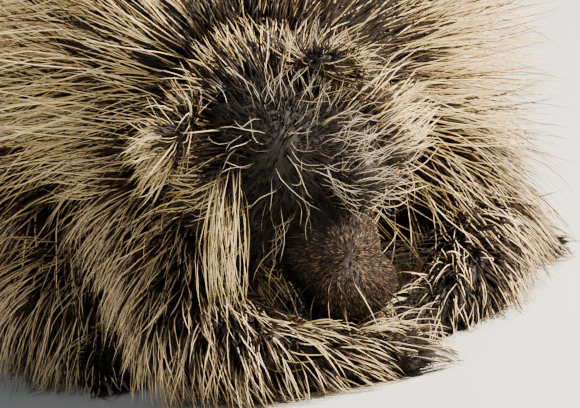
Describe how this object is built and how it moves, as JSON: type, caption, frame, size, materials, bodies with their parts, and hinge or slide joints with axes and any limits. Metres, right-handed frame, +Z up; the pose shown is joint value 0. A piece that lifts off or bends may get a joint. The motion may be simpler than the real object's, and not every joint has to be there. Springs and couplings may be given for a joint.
{
  "type": "sleeping porcupine",
  "caption": "Life-size still model of a sleeping porcupine, hunched on its belly with its head bowed over its forepaws and its tail laid out behind.",
  "frame": {"origin": "middle of the bounding box, at floor level, where the animal rests", "axes": "+Y from the head end to the tail's tip, +Z up; the animal faces -Y, and +X is its left"},
  "size_m": [0.3275, 0.6237, 0.2696],
  "materials": {
    "guard_hair": "long straw-coloured guard hair over dark wool",
    "face_fur": "short dark brown fur",
    "ear_skin": "dark skin with short fur",
    "eyelid": "dark closed lid",
    "leg_fur": "brown fur with pale-tipped hair",
    "sole_skin": "dark foot with bare pebbled sole and curved claws",
    "quills": "pale quills and coarse dark-tipped hair"
  },
  "bodies": {
    "root": {"torso": "guard_hair", "head": "face_fur", "ear_left": "ear_skin", "ear_right": "ear_skin", "eye_left": "eyelid", "eye_right": "eyelid", "foreleg_left": "leg_fur", "foreleg_right": "leg_fur", "forepaw_left": "sole_skin", "forepaw_right": "sole_skin", "hindleg_left": "leg_fur", "hindleg_right": "leg_fur", "hindfoot_left": "sole_skin", "hindfoot_right": "sole_skin", "tail": "quills"}
  },
  "joints": []
}
